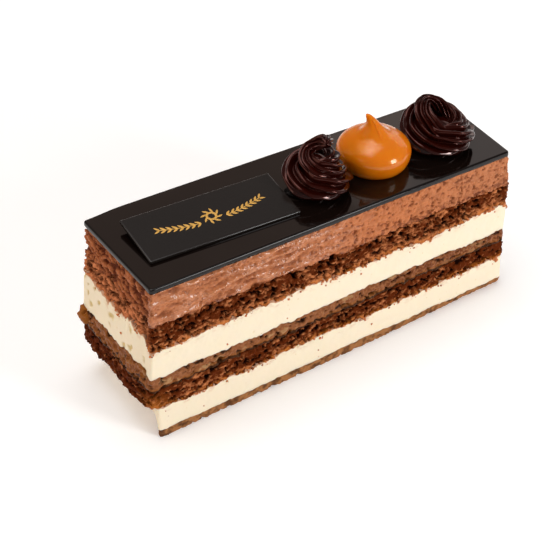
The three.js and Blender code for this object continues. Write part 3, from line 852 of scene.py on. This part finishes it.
def cream_finish(colours):
    finish = Finish("Cream")
    hole, left, below_top = finish.read("hole", "left", "below_top")
    fine = finish.cloud(1.1, 3.0)
    cloud = finish.cloud(8)
    streak = finish.cloud(1.2, 3.0, (0.5, 0.5, 1.0))
    near = 1 - below_top.ramp(0.1 * MM, 2.6 * MM)
    rim = 1 - below_top.ramp(0.02 * MM, 0.22 * MM)
    fleck = finish.cells(finish.place, 2.6 * MM).ramp(0.13, 0.06) * cloud.ramp(0.42, 0.6)
    colour = finish.paint(
        colours.cream,
        # Painted warm shade over the left end
        (left * 0.14 * cloud, colours.cream_shade_and_fleck),
        # Painted shade in the pits, more of it on the left end
        (hole * (0.5 + 0.4 * left), colours.cream_shade_and_fleck),
        (near * streak.ramp(0.46, 0.7) * 0.55, colours.cream_stain),
        (rim * 0.8, colours.cream_stain),
        (fleck * 0.4, colours.cream_shade_and_fleck))
    return finish.end(
        colour, 0.45 + 0.2 * cloud, fine, 0.15, specular=0.3,
        inner=0.35, inner_radius=(1.0, 0.75, 0.45), inner_scale=1.2 * MM)


def mousse_finish(colours):
    finish = Finish("Mousse")
    hole, drag, left, above_foot, smooth = finish.read("hole", "drag", "left", "above_foot", "smooth")
    fine = finish.cloud(0.5, 3.0)
    cloud = finish.cloud(3, 3.0)
    ragged = finish.cloud(1.3, 3.0, (0.6, 0.6, 1.0))
    bubbles = finish.cells(finish.place, 0.7 * MM)
    right = finish.along(0, 55)
    # Painted shade along the foot of the mousse, above the sponge, broken up by noise
    foot_shade = (1 - above_foot.ramp(0.0, (1.3 + 3.0 * right) * MM)) * ragged.ramp(0.42, 0.58) * 0.85
    # Painted shade in the furrows that the knife dragged
    furrow_shade = drag.ramp(0.0, -0.4) * 0.7
    # Darker: random clouds, the whole left end, and the painted shade along the foot and in the furrows
    dark = (cloud.ramp(0.4, 0.75) * 0.3).largest(foot_shade).largest(left * 0.3).largest(furrow_shade)
    # Strength of the painted shade in the holes and cracks: most on the left end, least at the right
    deep = 0.66 + 0.29 * left - 0.2 * right
    colour = finish.paint(
        colours.mousse,
        (smooth.largest(right), colours.mousse_smear),
        # Painted highlight on the raised drag ridges
        (drag.ramp(0.05, 0.35) * 0.35, colours.mousse_ridge_highlight),
        (dark, colours.mousse_dark_and_shade),
        (hole.ramp(0.1 * left, 0.7 + 0.25 * left) * deep, colours.mousse_dark_and_shade))
    gloss = smooth * (0.5 + drag).ramp(0.4, 0.62)
    height = (fine + bubbles) * (0.8 - 0.6 * smooth) + drag * 0.5
    return finish.end(
        colour, 0.55 - 0.35 * gloss, height, 0.7, specular=0.22, coat=0.5 * gloss, coat_roughness=0.18,
        inner=0.12, inner_radius=(1.0, 0.5, 0.3), inner_scale=0.5 * MM)


def praline_finish(colours):
    finish = Finish("Praline")
    hole, crumb, shade = finish.read("hole", "crumb", "shade")
    left, above_foot, nut = finish.read("left", "above_foot", "nut")
    fine = finish.cloud(0.8, 3.0)
    patch = finish.cloud(3.2)
    grain = finish.cloud(1.0, 3.0, (1.0, 0.35, 1.3))
    right = finish.along(-20, 60)
    pieces = crumb.ramp(0.45, 0.62) * shade.ramp(0.55, 0.65) * patch.ramp(0.34, 0.48)
    colour = finish.paint(
        colours.praline,
        (fine.ramp(0.35, 0.65) * (0.4 + 0.5 * right), colours.sponge),
        (patch.ramp(0.44, 0.6) * right * 0.5, colours.sponge),
        (left * 0.6, colours.nut),
        (left * grain.ramp(0.42, 0.6) * 0.5, colours.sponge),
        (pieces * (0.75 - 0.5 * left) * (1 - 0.5 * right), colours.nut_piece),
        # Painted shade in the holes
        (hole.ramp(0.1, 0.7) * 0.9, colours.sponge_hole_shade),
        ((1 - above_foot.ramp(0.9 * MM, 1.5 * MM)) * 0.5, colours.nut),
        # Painted shadow: the dark seam along the foot, where the praline overhangs the sponge
        ((1 - above_foot.ramp(0.5 * MM, 1.0 * MM)) * 0.85, colours.sponge_hole_shade),
        (nut.ramp(0.05, 0.4) * 0.9, colours.nut))
    return finish.end(colour, 0.22 + 0.35 * fine, fine, 0.5, specular=0.14, tint=(1.0, 0.65, 0.4, 1))


def biscuit_finish(colours):
    finish = Finish("Biscuit")
    hole, = finish.read("hole")
    fine = finish.cloud(0.7, 4.0)
    patch = finish.cloud(2.6, 3.0)
    # Real darker patches, then painted shade in the holes
    colour = finish.paint(
        colours.biscuit, (patch.ramp(0.42, 0.64), colours.biscuit_dark_and_shade), (hole * 0.7, colours.biscuit_dark_and_shade))
    return finish.end(colour, 0.6 + 0.3 * fine, fine, 0.5, specular=0.15)


def crumb_finish(colours):
    finish = Finish("Crumb")
    tint, = finish.read("tint")
    colour = finish.paint(colours.sponge, (tint.ramp(-0.4, 0.5), colours.sponge_crumb_and_highlight))
    return finish.end(colour, 0.7, finish.cloud(0.3), 0.4, specular=0.15)


def glaze_finish(toppings):
    finish = Finish("Glaze")
    ripple = finish.cloud(9)
    dust = finish.cloud(0.5).ramp(0.62, 0.8)
    colour = finish.paint(toppings.glaze, (ripple * 0.3, toppings.plaque))
    return finish.end(colour, 0.055 + 0.03 * ripple + 0.03 * dust, ripple, 0.04, specular=0.27)


def plaque_finish(toppings):
    finish = Finish("Plaque")
    cloud = finish.cloud(6, 3.0)
    colour = finish.paint(toppings.plaque, (cloud * 0.2, toppings.glaze))
    return finish.end(colour, 0.14 + 0.06 * cloud, finish.cloud(0.4), 0.03, specular=0.42)


def ganache_finish(toppings):
    """Glossy ganache, wettest at the foot of what is piped."""
    finish = Finish("Ganache")
    cloud = finish.cloud(3)
    colour = finish.paint(toppings.ganache, (cloud * 0.4, toppings.glaze))
    dry = finish.along(51, 54.5, "Z")
    return finish.end(
        colour, 0.07 + 0.04 * cloud, cloud, 0.05, specular=0.3, tint=(1.0, 0.3, 0.22, 1),
        coat=0.9 - 0.74 * dry, coat_roughness=0.03)


def caramel_finish(toppings):
    """Soft caramel, wettest at its front right."""
    finish = Finish("Caramel")
    cloud = finish.cloud(5)
    colour = finish.paint(toppings.caramel, (cloud.ramp(0.3, 0.8) * 0.2, toppings.caramel_deep))
    front_right = finish.split(finish.place, "X") * 0.45 - finish.split(finish.place, "Y") * 0.8
    return finish.end(
        colour, 0.2 + 0.08 * cloud, cloud, 0.05, specular=0.32, tint=(1.0, 0.75, 0.3, 1),
        coat=0.02 + 0.6 * front_right.ramp(10 * MM, 13 * MM), coat_roughness=0.06,
        inner=0.4, inner_radius=(1.0, 0.35, 0.08), inner_scale=2.0 * MM)


def gold_finish(toppings):
    finish = Finish("Gold")
    cloud = finish.cloud(1.5)
    return finish.end(toppings.gold, 0.34 + 0.12 * cloud, cloud, 0.05, metal=0.35)


FINISHES = {
    "sponge": sponge_finish, "cream": cream_finish, "mousse": mousse_finish,
    "praline": praline_finish, "biscuit": biscuit_finish,
}


def seat(bar):
    """Carries places on the glaze, measured from the middle of the bar, to the bar's own frame."""
    slope = math.atan(bar.fall / bar.length)
    return Matrix.Translation((bar.middle, 0, bar.height)) @ Matrix.Rotation(slope, 4, "Y")


class CAKE_OT_layers(bpy.types.Operator):
    """Build the biscuit, creams, sponges, praline and mousse with their cut walls"""

    bl_idname = "cake.layers"
    bl_label = "Layers"

    def execute(self, context):
        bar = context.scene.cake_bar
        wall = Wall(bar, bar.facet)
        tree = wall_relief_tree()
        finishes = {name: make(context.scene.cake_layers) for name, make in FINISHES.items()}
        for index, layer in enumerate(LAYERS):
            values = dict(zip(RELIEF_LENGTHS, (MM * length for length in layer.relief)))
            values.update(zip(RELIEF_SHARES, layer.shares))
            values.update({"Material": finishes[layer.finish], "Seed": bar.seed + index})
            mesh = grow(layer_mesh(wall, index, bar.facet), tree, values)
            settle(layer.node + "_cut", mesh, layer.finish, layer.node)
        return {"FINISHED"}


class CAKE_OT_crumbs(bpy.types.Operator):
    """Scatter loose crumbs on the creams below the sponges"""

    bl_idname = "cake.crumbs"
    bl_label = "Crumbs"

    SIZES = {"Smallest": 0.1 * MM, "Largest": 0.5 * MM, "Density": 6.5e6}

    def execute(self, context):
        tree = crumb_tree()
        finish = crumb_finish(context.scene.cake_layers)
        for number, node in enumerate(("lower_cream", "upper_cream")):
            values = {"Material": finish, "Seed": context.scene.cake_bar.seed + number, **self.SIZES}
            mesh = grow(bpy.data.objects[node + "_cut"].data.copy(), tree, values)
            settle(node + "_crumbs", mesh, "sponge")
        return {"FINISHED"}


class CAKE_OT_glaze(bpy.types.Operator):
    """Build the mirror glaze with its rounded rim"""

    bl_idname = "cake.glaze"
    bl_label = "Glaze"

    LIP = 0.14 * MM
    RIM = 0.36 * MM
    RIM_FROM = 0.76
    RIM_STEPS = 8
    # How far in from the rim the flat top starts
    FLAT_INSET = 0.4 * MM
    STEP = 0.6 * MM

    def execute(self, context):
        wall = Wall(context.scene.cake_bar, self.STEP)
        index = len(LAYERS)
        low = wall.edge(index) - SINK
        high = wall.glaze_height(wall.x)
        # Share of the height, and how far the glaze stands out there
        profile = [(0.0, 0.0), (0.15, 0.7 * self.LIP), (0.35, self.LIP)]
        for angle in np.linspace(0, math.pi / 2, self.RIM_STEPS + 1):
            inset = (self.RIM + self.LIP) * (1 - math.cos(angle))
            profile.append((blend(self.RIM_FROM, 1, math.sin(angle)), self.LIP - inset))
        profile.append((1.0, -self.RIM - self.FLAT_INSET))
        rings = [wall.point(index, v, low, high) + wall.out * bulge for v, bulge in profile]
        mesh = capped_mesh("glaze", rings, glaze_finish(context.scene.cake_toppings))
        settle("glaze_mirror", mesh, "glaze", "glaze")
        return {"FINISHED"}


class CAKE_OT_plaque(bpy.types.Operator):
    """Build the chocolate plaque, the dab that props it and its gold ornament"""

    bl_idname = "cake.plaque"
    bl_label = "Plaque"

    PLACE = Vector((-31.5, -0.8, 0)) * MM
    SLANT = math.radians(-2.8)
    EDGE = 0.17 * MM
    CORNER = 2.4 * EDGE
    CORNER_STEPS = 5
    # Rounded edge of the plate from its foot up, in shares of EDGE: height over the foot, inset
    FOOT_EDGE = ((0, 2.2), (0, 1.0), (0.3, 0.3), (1.0, 0))
    SPRIG = {
        "Leaf Length": 1.9 * MM, "Leaf Width": 0.62 * MM, "Height": 0.035 * MM, "Stem": 0.13 * MM,
        "Spread": 0.62, "Pairs": 8}
    STEM_STEPS = 60
    STEM_START = 3.8 * MM
    STEM_END = 15 * MM
    STEM_LOW = -1.3 * MM
    STEM_RISE = 2.1 * MM
    STEM_BEND = 1.7
    RING = 1.5 * MM
    DAB_RADIUS = 4 * MM
    DAB_BACK = 4.5 * MM
    DAB_HEIGHT = 1.5 * MM
    DAB_SIDES = 40
    DAB_STEPS = 10

    def execute(self, context):
        toppings = context.scene.cake_toppings
        base = seat(context.scene.cake_bar) @ Matrix.Translation(self.PLACE)
        base = base @ Matrix.Rotation(self.SLANT, 4, "Z")
        half = toppings.plaque_width / 2
        tilt = Matrix.Rotation(math.asin(toppings.plaque_lift / toppings.plaque_width), 4, "X")
        hinge = Matrix.Translation((0, -half, 0)) @ tilt @ Matrix.Translation((0, half, 0))
        plate = self.plate_mesh(toppings)
        plate.transform(base @ hinge)
        settle("plaque_plate", plate, "plaque", "plaque")
        dab = self.dab_mesh(ganache_finish(toppings))
        dab.transform(base @ Matrix.Translation((0, self.DAB_BACK, 0)))
        settle("plaque_prop", dab, "ganache", "plaque_dab")
        top = base @ hinge @ Matrix.Translation((0, 0, toppings.plaque_thickness))
        tree = sprig_tree()
        values = {"Material": gold_finish(toppings), **self.SPRIG}
        for side, name in ((1, "right"), (-1, "left"), (0, "ring")):
            mesh = grow(self.stem_curve(side), tree, values)
            mesh.transform(top)
            settle("sprig_" + name, mesh, "plaque")
        return {"FINISHED"}

    def stem_curve(self, side):
        """A stem that rises in an arc towards one end of the plaque, or a ring in the middle of it."""
        t = np.linspace(0, 1, self.STEM_STEPS, endpoint=side != 0)
        x = side * blend(self.STEM_START, self.STEM_END, t)
        y = self.STEM_RISE * t ** self.STEM_BEND + self.STEM_LOW
        if side == 0:
            x = self.RING * np.cos(FULL_TURN * t)
            y = self.RING * np.sin(FULL_TURN * t)
        return poly_curve("stem", np.column_stack((x, y, 0 * t)), side == 0)[0]

    def plate_mesh(self, toppings):
        """A plate with finely rounded edges."""
        x = toppings.plaque_length / 2
        y = toppings.plaque_width / 2
        edges = [(height * self.EDGE, inset) for height, inset in self.FOOT_EDGE]
        edges += [(toppings.plaque_thickness - height, inset) for height, inset in reversed(edges)]
        rings = []
        for z, inset in edges:
            reach = self.CORNER - inset * self.EDGE
            ring = []
            for quarter, (cx, cy) in enumerate(((x, y), (-x, y), (-x, -y), (x, -y))):
                for angle in (quarter + np.linspace(0, 1, self.CORNER_STEPS)) * math.pi / 2:
                    ring.append((
                        cx - math.copysign(self.CORNER, cx) + reach * math.cos(angle),
                        cy - math.copysign(self.CORNER, cy) + reach * math.sin(angle), z))
            rings.append(ring)
        return capped_mesh("plaque", rings, plaque_finish(toppings))

    def dab_mesh(self, material):
        r = self.DAB_RADIUS
        h = self.DAB_HEIGHT
        dome = bezier((r, -SINK), (r, 0.6 * h), (0.6 * r, h), (0, h), self.DAB_STEPS)
        return lathe_mesh("dab", [(0, -SINK), (r, -SINK), *map(tuple, dome)], self.DAB_SIDES, material)


class CAKE_OT_rosettes(bpy.types.Operator):
    """Pipe the two ganache rosettes"""

    bl_idname = "cake.rosettes"
    bl_label = "Rosettes"

    STEPS = 240
    ROPE = {"Sides": 120, "Ridge Depth": 0.46, "Unevenness": 1.4 * MM, "Foot": -SINK}
    # Shares of the rope's length between which it winds in, climbs, leans, lifts its tail, thins and starts
    WINDS = (0.1, 1)
    CLIMBS = (0.05, 1.1)
    LEANS = (0.15, 0.65)
    LIFTS = (0.8, 1)
    THINS = (0.2, 1)
    STARTS = (0, 0.06)
    START_SHARE = 0.8
    # The tip is rounded off from this share of the length, to this share of its thickness squared
    TIP_FROM = 0.9
    TIP_END = 0.03
    HEART_STEPS = 12
    HEART_SIDES = 40

    def execute(self, context):
        base = seat(context.scene.cake_bar)
        tree = piped_rope_tree()
        finish = ganache_finish(context.scene.cake_toppings)
        for rosette in ROSETTES:
            rope = grow(self.rope_curve(rosette), tree, {
                "Material": finish, "Teeth": rosette.teeth, **self.ROPE})
            heart = self.heart_mesh(rosette, finish)
            for mesh, part in ((rope, "_rope"), (heart, "_heart")):
                mesh.transform(base @ Matrix.Translation((rosette.x * MM, rosette.y * MM, 0)))
                settle(rosette.node + part, mesh, "ganache", rosette.node)
        return {"FINISHED"}

    def rope_curve(self, rosette):
        """The line that the middle of a rope follows, with its radius."""
        t = np.linspace(0, 1, self.STEPS + 1)
        angle = math.radians(rosette.start) - FULL_TURN * rosette.turns * t
        radius = blend(rosette.outer, rosette.inner, smoothstep(t, *self.WINDS))
        climb = rosette.rise * smoothstep(t, *self.CLIMBS)
        back = rosette.lean * np.cos(angle - math.radians(rosette.high)) * smoothstep(t, *self.LEANS)
        height = ROPE_SQUASH * rosette.rope + climb + back + rosette.tail * smoothstep(t, *self.LIFTS)
        thickness = blend(rosette.rope, rosette.rope_end, smoothstep(t, *self.THINS))
        thickness = thickness * blend(self.START_SHARE, 1, smoothstep(t, *self.STARTS))
        tip = np.clip((t - self.TIP_FROM) / (1 - self.TIP_FROM), 0, 1)
        thickness = thickness * np.sqrt(1 - (1 - self.TIP_END) * tip ** 2)
        points = np.column_stack((radius * np.cos(angle), radius * np.sin(angle), height)) * MM
        curve, spline = poly_curve(rosette.node, points)
        curve.twist_mode = "Z_UP"
        spline.points.foreach_set("radius", thickness * MM)
        spline.points.foreach_set("tilt", FULL_TURN * rosette.twist * t)
        return curve

    def heart_mesh(self, rosette, material):
        """The ganache that fills the middle of the rope."""
        angles = np.linspace(0, math.pi / 2, self.HEART_STEPS)
        dome = [(rosette.outer * math.cos(a) * MM, rosette.core * math.sin(a) * MM) for a in angles]
        return lathe_mesh("heart", [(0, 0), *dome], self.HEART_SIDES, material)


class CAKE_OT_dollop(bpy.types.Operator):
    """Pipe the caramel dollop"""

    bl_idname = "cake.dollop"
    bl_label = "Dollop"

    PLACE = Vector((22.4, -0.9, 0)) * MM
    FOOT = 9 * MM
    WIDEST = 4.2 * MM
    SHOULDER = 9.3 * MM
    # The tip is pulled this way, and hooks over at its end
    PULL_ANGLE = math.radians(145)
    BEND_FROM = 8 * MM
    BEND = 1.7 * MM
    BEND_POWER = 1.5
    HOOK_FROM = 12.4 * MM
    HOOK = 0.9 * MM
    CREASE_ANGLE = math.radians(-98)
    CREASE_WIDTH = 0.13
    CREASE_RISE = 0.6 * MM
    # Heights between which the crease grows and fades
    CREASE_GROWS = (9.3 * MM, 11 * MM)
    CREASE_FADES = (14 * MM, 15.5 * MM)
    SIDES = 144

    def execute(self, context):
        toppings = context.scene.cake_toppings
        mesh = lathe_mesh("dollop", self.profile(toppings), self.SIDES, caramel_finish(toppings))
        points = mesh_points(mesh)
        x, y, height = points.T
        turn = np.arctan2(y, x) - self.CREASE_ANGLE
        fold = np.exp(-(np.angle(np.exp(1j * turn)) / self.CREASE_WIDTH) ** 2)
        fold = fold * smoothstep(height, *self.CREASE_GROWS) * (1 - smoothstep(height, *self.CREASE_FADES))
        points[:, :2] *= (1 + self.CREASE_RISE * fold / (np.hypot(x, y) + MM))[:, None]
        share = np.clip((height - self.BEND_FROM) / (toppings.dollop_height - self.BEND_FROM), 0, 1)
        hook = np.clip((height - self.HOOK_FROM) / (toppings.dollop_height - self.HOOK_FROM), 0, 1)
        shift = self.BEND * share ** self.BEND_POWER + self.HOOK * hook ** 2
        points[:, 0] += shift * math.cos(self.PULL_ANGLE)
        points[:, 1] += shift * math.sin(self.PULL_ANGLE)
        mesh.vertices.foreach_set("co", points.ravel())
        mesh.transform(seat(context.scene.cake_bar) @ Matrix.Translation(self.PLACE))
        settle("caramel_drop", mesh, "caramel", "caramel_dollop")
        return {"FINISHED"}

    def profile(self, toppings):
        r = toppings.dollop_radius
        h = toppings.dollop_height
        points = [(0, -SINK), (self.FOOT, -SINK)]
        # Bulge, shoulder, neck and tip: two control points, the end and the number of steps
        for first, second, end, steps in (
            ((self.FOOT + MM, 0.6 * MM), (r, 2.4 * MM), (r, self.WIDEST), 16),
            ((r, 6.6 * MM), (0.78 * r, 8.3 * MM), (0.5 * r, self.SHOULDER), 20),
            ((0.33 * r, 10.2 * MM), (2.1 * MM, 12.2 * MM), (1.25 * MM, h - 1.5 * MM), 24),
            ((0.95 * MM, h - 0.6 * MM), (0.5 * MM, h), (0, h), 10),
        ):
            points.extend(map(tuple, bezier(points[-1], first, second, end, steps)))
        return points


class CAKE_OT_stage(bpy.types.Operator):
    """Set the floor, the lights and the camera"""

    bl_idname = "cake.stage"
    bl_label = "Stage"

    FLOOR_SIDE = 6.0
    SENSOR = 36
    NEAREST = 0.01
    TARGET = Vector((0, 0, 0.03))
    # The overhead panel is a nest of smaller and smaller parts, each a little higher than the one round it
    OVERHEAD = Vector((-0.05, 0.10, 0.70))
    OVERHEAD_SIZE = (0.58, 0.5)
    OVERHEAD_PARTS = (1.0, 0.85, 0.7, 0.55, 0.4)
    OVERHEAD_DROP = Vector((0, 0, 0.05))
    # Panels round the bar: name, azimuth and elevation in degrees, distance, size, radiance setting, colour
    PANELS = (
        ("front_window", 27, 20, 0.8, (0.22, 0.34), "key", (1, 1, 1)),
        ("left_panel", -108, 28, 0.9, (1.0, 0.62), "side", (1, 0.84, 0.7)),
        ("back_panel", 116, 24, 1.3, (1.1, 0.7), "back", (1, 0.84, 0.78)),
        ("warm_panel", 153, 36, 1.3, (0.62, 0.4), "warm", (1, 0.6, 0.42)),
    )

    def execute(self, context):
        stage = context.scene.cake_stage
        context.scene.view_settings.view_transform = "Standard"
        self.add_floor(stage)
        self.add_sky(context.scene, stage)
        for share in self.OVERHEAD_PARTS:
            size = [share * side for side in self.OVERHEAD_SIZE]
            self.add_panel("overhead_panel", self.OVERHEAD - self.OVERHEAD_DROP * share, size, stage.panel)
        for name, azimuth, elevation, distance, size, radiance, colour in self.PANELS:
            place = self.direction(math.radians(azimuth), math.radians(elevation)) * distance
            self.add_panel(name, place, size, getattr(stage, radiance), colour)
        self.add_camera(context.scene, stage)
        return {"FINISHED"}

    def direction(self, azimuth, elevation):
        """Unit vector to a place round the bar: azimuth 0 is in front of the long side."""
        away = math.cos(elevation)
        return Vector((math.sin(azimuth) * away, -math.cos(azimuth) * away, math.sin(elevation)))

    def add_floor(self, stage):
        finish = Finish("Pale floor")
        roughness = 0.75 + 0.1 * finish.cloud(400)
        material = finish.end(stage.floor, roughness, glow_colour=stage.floor, glow=stage.glow)
        half = self.FLOOR_SIDE / 2
        points = [(-half, -half, 0), (half, -half, 0), (half, half, 0), (-half, half, 0)]
        floor = new_piece("floor", mesh_of("floor", points, [(0, 1, 2, 3)], material))

    def add_sky(self, scene, stage):
        world = bpy.data.worlds.new("Soft sky")
        world.use_nodes = True
        background = world.node_tree.nodes["Background"]
        background.inputs["Color"].default_value = (1, 1, 1, 1)
        background.inputs["Strength"].default_value = stage.sky
        scene.world = world

    def add_panel(self, name, place, size, radiance, colour=(1, 1, 1)):
        light = bpy.data.lights.new(name, "AREA")
        light.shape = "RECTANGLE"
        light.color = colour
        light.size, light.size_y = size
        light.energy = radiance * math.pi * size[0] * size[1]
        lamp = new_piece(name, light)
        lamp.location = place
        lamp.rotation_euler = (self.TARGET - place).to_track_quat("-Z", "Y").to_euler()

    def add_camera(self, scene, stage):
        back = self.direction(stage.azimuth, stage.elevation)
        right = Vector((math.cos(stage.azimuth), math.sin(stage.azimuth), 0))
        turn = Matrix((right, back.cross(right), back)).transposed() @ Matrix.Rotation(stage.roll, 3, "Z")
        camera = new_piece("camera", bpy.data.cameras.new("camera"))
        camera.data.lens = stage.lens
        camera.data.sensor_width = self.SENSOR
        camera.data.clip_start = self.NEAREST
        camera.matrix_world = Matrix.Translation(stage.place) @ turn.to_4x4()
        scene.camera = camera


class CAKE_PT_panel(bpy.types.Panel):
    """Lists the pieces of the bar."""

    bl_idname = "CAKE_PT_panel"
    bl_label = "Mousse cake bar"
    bl_space_type = "VIEW_3D"
    bl_region_type = "UI"
    bl_category = "Cake"

    def draw(self, context):
        for operator in OPERATORS:
            self.layout.operator(operator.bl_idname)
        for group in SETTINGS:
            settings = getattr(context.scene, group)
            for name in settings.bl_rna.properties.keys():
                if name not in ("rna_type", "name"):
                    self.layout.prop(settings, name)


SETTINGS = {
    "cake_bar": BarSizes, "cake_layers": LayerColours,
    "cake_toppings": ToppingSettings, "cake_stage": StageSettings,
}
OPERATORS = (
    CAKE_OT_layers, CAKE_OT_crumbs, CAKE_OT_glaze, CAKE_OT_plaque,
    CAKE_OT_rosettes, CAKE_OT_dollop, CAKE_OT_stage,
)


def register():
    for cls in (*SETTINGS.values(), *OPERATORS, CAKE_PT_panel):
        bpy.utils.register_class(cls)
    for name, group in SETTINGS.items():
        setattr(bpy.types.Scene, name, bpy.props.PointerProperty(type=group))


def unregister():
    for name in SETTINGS:
        delattr(bpy.types.Scene, name)
    for cls in (CAKE_PT_panel, *reversed(OPERATORS), *SETTINGS.values()):
        bpy.utils.unregister_class(cls)


def main():
    register()
    bpy.ops.cake.layers()
    bpy.ops.cake.crumbs()
    bpy.ops.cake.glaze()
    bpy.ops.cake.plaque()
    bpy.ops.cake.rosettes()
    bpy.ops.cake.dollop()
    bpy.ops.cake.stage()


if __name__ == "__main__":
    main()
